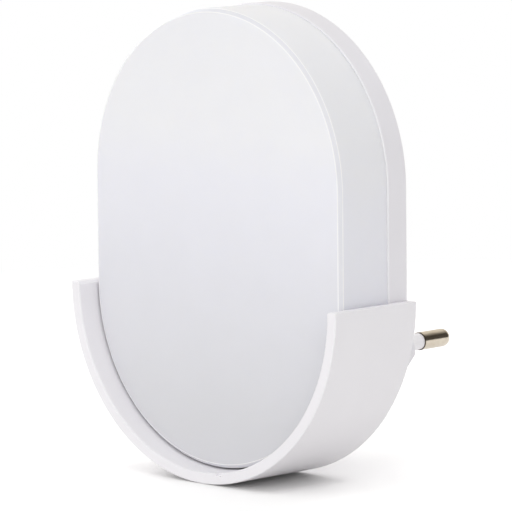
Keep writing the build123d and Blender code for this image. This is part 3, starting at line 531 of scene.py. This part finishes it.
class Finishes:
    """Every finish of the lamp, by the record's slot name."""

    WHITE: Colour = srgb(239, 237, 241)
    WHITE_SHADE: Colour = srgb(235, 233, 237)

    def __init__(self) -> None:
        """Builds all the materials once."""
        finishes: list[Moulded | Opal | Plated | Laminate] = [
            Opal("opal", srgb(243, 243, 250), srgb(219, 219, 222), -14 * MM, 50 * MM),
            Moulded("phosphor", srgb(238, 204, 92), srgb(230, 190, 76), 0.34, 0.05),
            Plated("solder", srgb(198, 200, 204), srgb(172, 174, 178), 0.3, EVEN),
            Moulded("casing", self.WHITE, self.WHITE_SHADE, painted_edge_highlight=0.5 * MM),
            Moulded("cradle", srgb(244, 242, 245), srgb(241, 239, 242), 0.46, 0.05, 0.2 * MM, 0.009 * MM,
                    painted_edge_highlight=0.22 * MM),
            Moulded("plug_housing", self.WHITE, self.WHITE_SHADE, 0.44),
            Plated("pin_metal", srgb(228, 219, 204), srgb(212, 200, 182), 0.13, painted_shade_ring_at=10.1 * MM),
            Moulded("sleeve", srgb(248, 246, 248), srgb(245, 243, 245), 0.5),
            Moulded("inner_plastic", srgb(226, 224, 216), srgb(216, 213, 204), 0.5),
            Laminate("led_board", srgb(236, 238, 236), srgb(226, 230, 228)),
            Moulded("led_package", srgb(238, 236, 226), srgb(232, 229, 216), 0.3),
            Moulded("chip", srgb(36, 35, 36), srgb(58, 56, 56), 0.38, 0.08),
            Moulded("reflector", srgb(243, 243, 241), srgb(238, 238, 236), 0.3, 0.04, 0.4 * MM),
            Moulded("insulation", srgb(196, 178, 140), srgb(178, 158, 122), 0.55, 0.06, 0.2 * MM),
            Laminate("driver_board", srgb(46, 104, 62), srgb(62, 126, 78)),
            Moulded("film_capacitor", srgb(196, 128, 44), srgb(172, 104, 34), 0.32, 0.08),
            Moulded("can_capacitor", srgb(34, 36, 44), srgb(48, 50, 60), 0.3, 0.06),
            Moulded("chip_package", srgb(30, 30, 32), srgb(44, 44, 46), 0.5),
            Moulded("fuse_body", srgb(206, 184, 150), srgb(190, 166, 130), 0.42),
            Moulded("wire_red", srgb(178, 34, 30), srgb(156, 26, 26), 0.34),
            Moulded("wire_black", srgb(32, 32, 34), srgb(46, 46, 48), 0.34),
            Moulded("wire_brown", srgb(104, 64, 40), srgb(88, 52, 34), 0.34),
            Moulded("wire_blue", srgb(44, 86, 156), srgb(36, 72, 134), 0.34),
            Plated("switch_steel", srgb(196, 196, 194), srgb(176, 174, 168), 0.34),
            Moulded("switch_base", srgb(140, 88, 42), srgb(122, 74, 36), 0.46),
            Plated("switch_contact_metal", srgb(196, 154, 84), srgb(176, 128, 68), 0.3),
            Moulded("switch_slider", srgb(28, 28, 30), srgb(40, 40, 42), 0.42),
            Moulded("button", self.WHITE, self.WHITE_SHADE, 0.4),
            Plated("screw", srgb(186, 184, 180), srgb(150, 146, 140), 0.3, EVEN),
        ]
        self.materials = {finish.name: finish.material() for finish in finishes}

    def dress(self, node: str) -> bpy.types.Object:
        """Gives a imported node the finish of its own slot.

        Args:
            node: The node's name.

        Returns:
            The dressed object.
        """
        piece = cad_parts[node]
        for place in piece.material_slots:
            place.material = self.materials[place.material.name.split(".")[0]]
        return piece


@dataclass
class SubAssembly:
    """A group of pieces that is built and dressed together."""

    finishes: Finishes
    nodes: tuple[str, ...] = ()

    def build(self) -> list[bpy.types.Object]:
        """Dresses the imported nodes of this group."""
        return [self.finishes.dress(node) for node in self.nodes]


@dataclass
class LampBody(SubAssembly):
    """Opal diffuser snapped into the rear casing.  Sizes are in millimetres."""

    nodes: tuple[str, ...] = ("rear_casing",)
    lower_centre_z: float = 14.9
    straight: float = 24.3
    radius: float = 37.3
    rim_y: float = -29.9
    front_edge_y: float = -44.0
    dome: float = 0.6
    edge_chamfer: float = 0.8
    chamfer_round: float = 0.34
    wall: float = 1.8
    inner_round: float = 0.4
    lip_radius: float = 35.8
    lip_wall: float = 1.2
    lip_end_y: float = -28.7
    catch_length: float = 6.0
    catch_height: float = 0.4
    catch_depth: float = 0.6
    catch_setback: float = 0.15
    catch_places: tuple[float, ...] = (-0.5, -0.46, 0.46, 0.5)
    catch_end_share: float = 0.55
    catch_ramp: float = 0.25
    catch_crest: float = 0.7
    arc_steps: int = 72
    straight_steps: int = 10
    dome_rings: int = 14
    round_steps: int = 3
    side_steps: int = 6

    def build(self) -> list[bpy.types.Object]:
        """Builds the diffuser and dresses the casing."""
        return [self.diffuser(), *super().build()]

    def pill(self, radius: float, y: float) -> list[Point]:
        """One pill-shaped ring.

        Args:
            radius: Radius of both ends.
            y: The ring's place along the lamp's depth.

        Returns:
            The ring's points, from the right side over the top and back.
        """
        upper_z = self.lower_centre_z + self.straight
        ring = []
        for side, centre_z in ((0.0, upper_z), (math.pi, self.lower_centre_z)):
            for step in range(self.arc_steps + 1):
                angle = side + math.pi * step / self.arc_steps
                ring.append((radius * math.cos(angle), y, centre_z + radius * math.sin(angle)))
            way = -1.0 if side == 0.0 else 1.0
            for step in range(1, self.straight_steps):
                ring.append((way * radius, y, centre_z + way * self.straight * step / self.straight_steps))
        return ring

    def domed_front(self, radius: float, edge_y: float, chamfer: float, edge_round: float,
                    ) -> list[tuple[float, float]]:
        """Radii and depths of a gently domed front and its broken edge.

        Args:
            radius: Radius of the upright side.
            edge_y: Where front and side would meet without the chamfer.
            chamfer: Length by which the chamfer cuts front and side.
            edge_round: Radius of the small rounds at both sides of the chamfer.

        Returns:
            Pairs of radius and y, from the middle outwards to the upright side.
        """
        def front(at: float) -> float:
            """Depth of the dome at a radius."""
            return edge_y - self.dome * (1.0 - (at / radius) ** 2)

        setback = edge_round * math.tan(math.pi / 8)
        flat = radius - chamfer
        start = flat - setback
        pairs = [(start * ring / self.dome_rings, front(start * ring / self.dome_rings))
                 for ring in range(self.dome_rings + 1)]
        side_y = front(flat) + chamfer
        slant = math.sqrt(0.5)
        corners = (((flat, front(flat)), (-1.0, 0.0), (slant, slant)),
                   ((radius, side_y), (-slant, -slant), (0.0, 1.0)))
        for (at, y), before, after in corners:
            for step in range(self.round_steps + 1):
                share = step / self.round_steps
                back, on = (1.0 - share) ** 2 * setback, share ** 2 * setback
                pairs.append((at + before[0] * back + after[0] * on, y + before[1] * back + after[1] * on))
        return pairs

    def diffuser(self) -> bpy.types.Object:
        """Builds the shell, its lip and its snap catches as one piece.

        Returns:
            The diffuser.
        """
        work = MeshWork("diffuser_shell")
        outer = self.domed_front(self.radius, self.front_edge_y, self.edge_chamfer, self.chamfer_round)
        inner_radius = self.lip_radius - self.lip_wall
        inner = self.domed_front(inner_radius, self.front_edge_y + self.wall, self.inner_round,
                                 self.chamfer_round)
        depth = self.rim_y - outer[-1][1]
        side = [(self.radius, outer[-1][1] + depth * step / self.side_steps)
                for step in range(1, self.side_steps + 1)]
        lip = [(self.lip_radius, self.rim_y), (self.lip_radius, self.lip_end_y),
               (inner_radius, self.lip_end_y)]
        profile = outer + side + lip + inner[::-1]
        work.skin([self.pill(radius, y) for radius, y in profile])
        self.add_catches(work)
        piece = work.finish(self.finishes.materials["opal"], Body.LAMP, "opal")
        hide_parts("diffuser")
        return piece

    def add_catches(self, work: MeshWork) -> None:
        """Adds the ramped snap catches around the lip.

        Args:
            work: The piece that they belong to.
        """
        upper_z = self.lower_centre_z + self.straight
        side_z = self.lower_centre_z + self.straight / 8
        places = [(0.0, side_z), (180.0, side_z), (15.0, upper_z), (90.0, upper_z), (165.0, upper_z),
                  (-62.0, self.lower_centre_z), (-118.0, self.lower_centre_z)]
        back = self.lip_end_y - self.catch_setback
        for angle, centre_z in places:
            turn = math.radians(angle)
            out = Vector((math.cos(turn), 0.0, math.sin(turn)))
            along = Vector((-math.sin(turn), 0.0, math.cos(turn)))
            centre = Vector((0.0, 0.0, centre_z)) + out * self.lip_radius
            rings = []
            for share in self.catch_places:
                at_end = share in (self.catch_places[0], self.catch_places[-1])
                proud = self.catch_height * (self.catch_end_share if at_end else 1.0)
                front = back - self.catch_depth
                corners = ((-self.catch_height, back), (proud * self.catch_ramp, back),
                           (proud, back - self.catch_depth * self.catch_crest),
                           (proud, front), (-self.catch_height, front))
                place = centre + along * (share * self.catch_length)
                rings.append([tuple(place + out * reach + Vector((0, y, 0))) for reach, y in corners])
            work.skin(rings, close_ends=True)


@dataclass
class Cradle(SubAssembly):
    """Half-round cradle with its three flush screws."""

    nodes: tuple[str, ...] = ("cradle", "cradle_screws")


@dataclass
class Plug(SubAssembly):
    """Plug boss with its sleeved pins and what holds them."""

    nodes: tuple[str, ...] = ("plug_housing", "plug_pin_left", "plug_pin_right", "pin_sleeve_left",
                              "pin_sleeve_right", "pin_retainer", "housing_screws")


@dataclass
class LightEngine(SubAssembly):
    """Board of LEDs behind the diffuser.  Sizes are in millimetres."""

    nodes: tuple[str, ...] = ("led_board", "leds", "led_resistors", "reflector_sheet", "insulating_sheet",
                              "board_screws")
    column_x: float = 14.0
    first_row_z: float = 0.9
    row_pitch: float = 17.433
    rows: int = 4
    window_half_width: float = 1.38
    window_half_height: float = 1.03
    window_floor_y: float = -36.31
    window_rise: float = 0.14
    rings: int = 5
    ring_points: int = 32
    rim_rise: float = 0.3
    squareness: float = 0.5
    crisp_angle: float = 60.0

    def build(self) -> list[bpy.types.Object]:
        """Dresses the nodes and fills the LEDs' wells."""
        return [*super().build(), self.windows()]

    def windows(self) -> bpy.types.Object:
        """Builds the phosphor fillings of all the LEDs.

        Returns:
            One piece with a slightly crowned filling in each well.
        """
        work = MeshWork("led_windows")
        for column in (-self.column_x, self.column_x):
            for row in range(self.rows):
                centre_z = self.first_row_z + row * self.row_pitch
                rings = [self.window_ring(column, centre_z, 1.0, 0.0)]
                for ring in range(self.rings + 1):
                    share = 1.0 - ring / self.rings
                    rise = self.rim_rise + (1.0 - self.rim_rise) * (1.0 - share ** 2)
                    rings.append(self.window_ring(column, centre_z, share, rise))
                start = len(work.points)
                work.skin(rings)
                work.faces.append(tuple(reversed(range(start, start + self.ring_points))))
        return work.finish(self.finishes.materials["phosphor"], Body.LAMP, "led_package", self.crisp_angle)

    def window_ring(self, x: float, z: float, share: float, rise: float) -> list[Point]:
        """One rounded ring of a filling.

        Args:
            x: The LED's middle along X.
            z: The LED's middle along Z.
            share: The ring's size as a share of the well.
            rise: Its height as a share of the crown.

        Returns:
            The ring's points.
        """
        ring = []
        for step in range(self.ring_points):
            turn = 2 * math.pi * step / self.ring_points
            cosine, sine = math.cos(turn), math.sin(turn)
            across = math.copysign(abs(cosine) ** self.squareness, cosine) * self.window_half_width
            along = math.copysign(abs(sine) ** self.squareness, sine) * self.window_half_height
            y = self.window_floor_y - self.window_rise * rise
            ring.append((x + across * share, y, z + along * share))
        return ring


@dataclass
class Driver(SubAssembly):
    """Capacitive dropper that feeds the LEDs.  Sizes are in millimetres."""

    nodes: tuple[str, ...] = (
        "driver_board", "dropper_capacitor", "smoothing_capacitor", "bridge_rectifier",
        "fusible_resistor", "bleeder_resistors", "led_lead_positive", "led_lead_negative")
    board_rear_y: float = -20.4
    legs: tuple[tuple[float, float], ...] = (
        (-8.5, 5.3), (1.5, 5.3), (-0.35, -4.4), (3.15, -4.4), (-12.9, -5.6), (-5.5, -5.6))
    leg_radius: float = 0.31
    pad_radius: float = 0.95
    joint_height: float = 0.55
    joint_lift: float = 0.01
    joint_hollow: float = 2.2
    joint_steps: int = 6
    joint_points: int = 20
    crisp_angle: float = 50.0

    def build(self) -> list[bpy.types.Object]:
        """Dresses the nodes and solders the legs."""
        return [*super().build(), self.solder()]

    def solder(self) -> bpy.types.Object:
        """Builds the hollow-flanked solder cones behind the board.

        Returns:
            One piece with a cone round each leg.
        """
        work = MeshWork("driver_solder")
        turns = [2 * math.pi * point / self.joint_points for point in range(self.joint_points)]
        for x, z in self.legs:
            rings = []
            for step in range(self.joint_steps + 1):
                share = step / self.joint_steps
                flare = (1.0 - share) ** self.joint_hollow
                radius = self.leg_radius + (self.pad_radius - self.leg_radius) * flare
                y = self.board_rear_y + (self.joint_height * share + self.joint_lift)
                rings.append([(x + radius * math.cos(turn), y, z + radius * math.sin(turn))
                              for turn in turns])
            work.skin(rings, close_ends=True)
        return work.finish(self.finishes.materials["solder"], Body.LAMP, "pin_metal", self.crisp_angle)


@dataclass
class SlideSwitch(SubAssembly):
    """Slide switch behind the casing's left side."""

    nodes: tuple[str, ...] = (
        "switch_frame", "switch_base", "switch_terminals", "switch_slider",
        "switch_contact", "switch_button", "switch_lead_live", "switch_lead_load")


@dataclass(frozen=True)
class SoftBox:
    """A square studio lamp that faces the lamp."""

    name: str
    azimuth: float
    elevation: float
    distance: float
    width: float
    height: float
    watts: float
    in_metal: bool = True


@dataclass
class Studio:
    """Floor, lamps, world and camera."""

    floor_reach: float = 6.0
    plain_from: float = 0.16
    plain_to: float = 0.34
    floor_colour: Colour = (0.93, 0.925, 0.92)
    floor_seen_colour: Colour = (1.15, 1.145, 1.135)
    floor_lift: float = 0.02
    card_across: tuple[float, float] = (-1.3, 1.3)
    card_height: tuple[float, float] = (0.05, 1.6)
    card_fade: tuple[float, float] = (-0.45, 0.42)
    card_y: float = 0.95
    card_dark: Colour = (0.012, 0.008, 0.004)
    card_pale: Colour = (0.85, 0.80, 0.72)
    card_cloud_size: float = 60 * MM
    card_cloud_share: float = 0.12
    painted_shadow_reach: float = 6 * MM
    painted_shadow_floor: float = 0.6
    painted_shadow_span: tuple[float, float] = (0.15, 0.92)
    painted_shadow_lean: Point = (-0.70, 0.42, 0.58)
    painted_shadow_samples: int = 12
    sky: tuple[tuple[int, float, float, float], ...] = (
        (2, 1.0, 3.0, 0.56), (2, 1.0, 10.0, 0.80), (1, -1.0, 1.0, 1.35), (1, 1.0, 1.0, 0.62))
    target: Point = (-0.0076323, -0.0240, 0.0209115)
    azimuth: float = 45.0047
    elevation: float = 7.1843
    roll: float = -0.5589
    distance: float = 1.0359437
    lens: float = 334.07
    sensor: float = 36.0
    clip: tuple[float, float] = (0.05, 50.0)
    boxes: tuple[SoftBox, ...] = (
        SoftBox("left", -110.0, 25.0, 0.8, 0.25, 0.25, 1.35),
        SoftBox("back", 180.0, 35.0, 0.8, 0.4, 0.4, 1.2, False),
        SoftBox("right", 68.0, 24.0, 0.8, 0.3, 0.3, 0.76),
    )

    def build(self) -> None:
        """Sets up everything that isn't the lamp."""
        self.build_floor()
        self.build_card()
        for box in self.boxes:
            self.build_box(box)
        self.build_world()
        self.build_camera()
        bpy.context.scene.view_settings.view_transform = "Standard"

    def build_floor(self) -> None:
        """Pale floor that keeps the shadow near the lamp, deepened by a painted shadow, and is plain white
        further off.
        """
        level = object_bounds()[0][2]
        half = self.floor_reach
        mesh = bpy.data.meshes.new("floor")
        corners = [(-half, -half, level), (half, -half, level), (half, half, level), (-half, half, level)]
        mesh.from_pydata(corners, [], [(0, 1, 2, 3)])
        floor = bpy.data.objects.new("floor", mesh)
        bpy.context.scene.collection.objects.link(floor)
        floor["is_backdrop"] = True
        mesh.materials.append(self.floor_material())

    def floor_material(self) -> bpy.types.Material:
        """Builds the floor's finish.

        Returns:
            A material that is lit near the lamp, with a painted shadow close under it, and plain white to
            the camera further off.
        """
        shader = Shader("floor_paper")
        tree = shader.tree
        path = shader.add("LightPath")
        seen = path.outputs["Is Camera Ray"]
        # Painted shadow: ambient occlusion, leaning to one side, darkens the floor as the camera sees it
        # near the lamp.
        lean = shader.add("CombineXYZ", **dict(zip("XYZ", self.painted_shadow_lean)))
        near = shader.add("AmbientOcclusion", Normal=lean.outputs[0])
        near.samples = self.painted_shadow_samples
        shader.feed(near, "Distance", self.painted_shadow_reach)
        painted_shadow_open_share = shader.span(near.outputs["AO"], self.painted_shadow_floor, 1.0, *self.painted_shadow_span)
        seen_colour_with_painted_shadow = shader.blend(painted_shadow_open_share, (0.0, 0.0, 0.0), self.floor_seen_colour)
        paper = shader.add("BsdfDiffuse", Color=shader.blend(seen, self.floor_colour, seen_colour_with_painted_shadow))
        for name in ("Is Glossy Ray", "Is Transmission Ray"):
            seen = shader.sum(seen, path.outputs[name], "MAXIMUM")
        lift = shader.add("Emission", Strength=shader.sum(seen, self.floor_lift, "MULTIPLY"))
        lit = shader.add("AddShader")
        tree.links.new(paper.outputs[0], lit.inputs[0])
        tree.links.new(lift.outputs[0], lit.inputs[1])
        white = shader.add("Emission", Strength=1.0)
        length = shader.add("VectorMath", operation="LENGTH")
        tree.links.new(shader.place(), length.inputs[0])
        far = shader.span(length.outputs["Value"], 0.0, 1.0, self.plain_from, self.plain_to)
        share = shader.sum(far, seen, "MULTIPLY")
        mix = shader.add("MixShader")
        tree.links.new(share, mix.inputs[0])
        tree.links.new(lit.outputs[0], mix.inputs[1])
        tree.links.new(white.outputs[0], mix.inputs[2])
        tree.links.new(mix.outputs[0], shader.output.inputs["Surface"])
        return shader.material

    def build_card(self) -> None:
        """Dark card behind the lamp that only shows in bright metal."""
        (left, right), (low, high), y = self.card_across, self.card_height, self.card_y
        mesh = bpy.data.meshes.new("card")
        corners = [(left, y, low), (right, y, low), (right, y, high), (left, y, high)]
        mesh.from_pydata(corners, [], [(0, 1, 2, 3)])
        card = bpy.data.objects.new("card", mesh)
        bpy.context.scene.collection.objects.link(card)
        card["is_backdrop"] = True
        for way in ("camera", "diffuse", "transmission", "shadow", "volume_scatter"):
            setattr(card, f"visible_{way}", False)
        shader = Shader("card_cloth")
        across = shader.add("SeparateXYZ", Vector=shader.place()).outputs["X"]
        cloud = shader.span(shader.noise(self.card_cloud_size), 0.0, self.card_cloud_share)
        fade = shader.sum(shader.span(across, 1.0, 0.0, *self.card_fade), cloud)
        cloth = shader.blend(fade, self.card_dark, self.card_pale)
        mesh.materials.append(shader.surface(Base_Color=cloth, Roughness=1.0))

    def build_box(self, box: SoftBox) -> None:
        """Hangs one soft box.

        Args:
            box: The soft box's sizes and place.
        """
        light = bpy.data.lights.new(box.name, "AREA")
        light.shape = "RECTANGLE"
        light.size, light.size_y = box.width, box.height
        light.energy = box.watts
        lamp = bpy.data.objects.new(box.name, light)
        lamp.visible_glossy = box.in_metal
        bpy.context.scene.collection.objects.link(lamp)
        away = self.direction(box.azimuth, box.elevation)
        lamp.location = Vector(self.target) + away * box.distance
        lamp.rotation_euler = away.to_track_quat("Z", "Y").to_euler()

    def build_world(self) -> None:
        """Light that differs a little by direction, white where the camera sees it.

        Each entry of the sky is an axis, the side of it that shines, how closely the light gathers
        round that side, and its strength.
        """
        world = bpy.data.worlds.new("studio")
        bpy.context.scene.world = world
        world.use_nodes = True
        tree = world.node_tree
        tree.nodes.clear()
        output = tree.nodes.new("ShaderNodeOutputWorld")
        path = tree.nodes.new("ShaderNodeLightPath")
        light = tree.nodes.new("ShaderNodeBackground")
        light.inputs["Color"].default_value = (*WHITE_LIGHT, 1.0)
        tree.links.new(self.sky_strength(tree), light.inputs["Strength"])
        white = tree.nodes.new("ShaderNodeBackground")
        white.inputs["Strength"].default_value = 1.0
        white.inputs["Color"].default_value = (*WHITE_LIGHT, 1.0)
        seen = path.outputs["Is Camera Ray"]
        for name in ("Is Glossy Ray", "Is Transmission Ray"):
            seen = self.maths(tree, "MAXIMUM", seen, path.outputs[name])
        mix = tree.nodes.new("ShaderNodeMixShader")
        tree.links.new(seen, mix.inputs[0])
        tree.links.new(light.outputs[0], mix.inputs[1])
        tree.links.new(white.outputs[0], mix.inputs[2])
        tree.links.new(mix.outputs[0], output.inputs["Surface"])

    def sky_strength(self, tree: bpy.types.NodeTree) -> bpy.types.NodeSocket:
        """Adds up the sky's parts.

        Args:
            tree: The world's node tree.

        Returns:
            The strength for the direction that is looked at.
        """
        way = tree.nodes.new("ShaderNodeTexCoord")
        parts = tree.nodes.new("ShaderNodeSeparateXYZ")
        tree.links.new(way.outputs["Generated"], parts.inputs[0])
        total: object = 0.0
        for axis, side, gathering, strength in self.sky:
            facing = self.maths(tree, "MULTIPLY", parts.outputs[axis], side)
            facing = self.maths(tree, "MAXIMUM", facing, 0.0)
            gathered = self.maths(tree, "POWER", facing, gathering)
            total = self.maths(tree, "ADD", total, self.maths(tree, "MULTIPLY", gathered, strength))
        return total

    @staticmethod
    def maths(tree: bpy.types.NodeTree, operation: str, first: object,
              second: object) -> bpy.types.NodeSocket:
        """Adds one math node.

        Args:
            tree: The node tree to add to.
            operation: The node's operation.
            first: First socket or number.
            second: Second socket or number.

        Returns:
            The result.
        """
        node = tree.nodes.new("ShaderNodeMath")
        node.operation = operation
        for place, value in enumerate((first, second)):
            if isinstance(value, bpy.types.NodeSocket):
                tree.links.new(value, node.inputs[place])
            else:
                node.inputs[place].default_value = value
        return node.outputs[0]

    @staticmethod
    def direction(azimuth: float, elevation: float) -> Vector:
        """Way from the lamp towards a point of view.

        Args:
            azimuth: Degrees, 0 in front of the lamp and 90 to its right.
            elevation: Degrees above the floor.

        Returns:
            The unit vector.
        """
        turn, rise = math.radians(azimuth), math.radians(elevation)
        return Vector((math.sin(turn) * math.cos(rise), -math.cos(turn) * math.cos(rise), math.sin(rise)))

    def build_camera(self) -> None:
        """Sets the long lens that looks at the lamp from the front right."""
        data = bpy.data.cameras.new("camera")
        data.lens = self.lens
        data.sensor_width = self.sensor
        data.clip_start, data.clip_end = self.clip
        camera = bpy.data.objects.new("camera", data)
        bpy.context.scene.collection.objects.link(camera)
        back = self.direction(self.azimuth, self.elevation)
        turn, lean = math.radians(self.azimuth), math.radians(self.roll)
        level = Vector((math.cos(turn), math.sin(turn), 0.0))
        upright = back.cross(level)
        right = level * math.cos(lean) + upright * math.sin(lean)
        matrix = Matrix((right, back.cross(right), back)).transposed().to_4x4()
        matrix.translation = Vector(self.target) + back * self.distance
        camera.matrix_world = matrix
        bpy.context.scene.camera = camera


def main() -> None:
    """Builds the lamp's groups in order, then the studio."""
    logging.basicConfig(level=logging.INFO, format="%(message)s")
    finishes = Finishes()
    groups: list[SubAssembly] = [LampBody(finishes), Cradle(finishes), Plug(finishes), LightEngine(finishes),
                                 Driver(finishes), SlideSwitch(finishes)]
    for group in groups:
        for piece in group.build():
            LOG.info("%s: %s", type(group).__name__, piece.name)
    Studio().build()


if __name__ == "__main__":
    main()
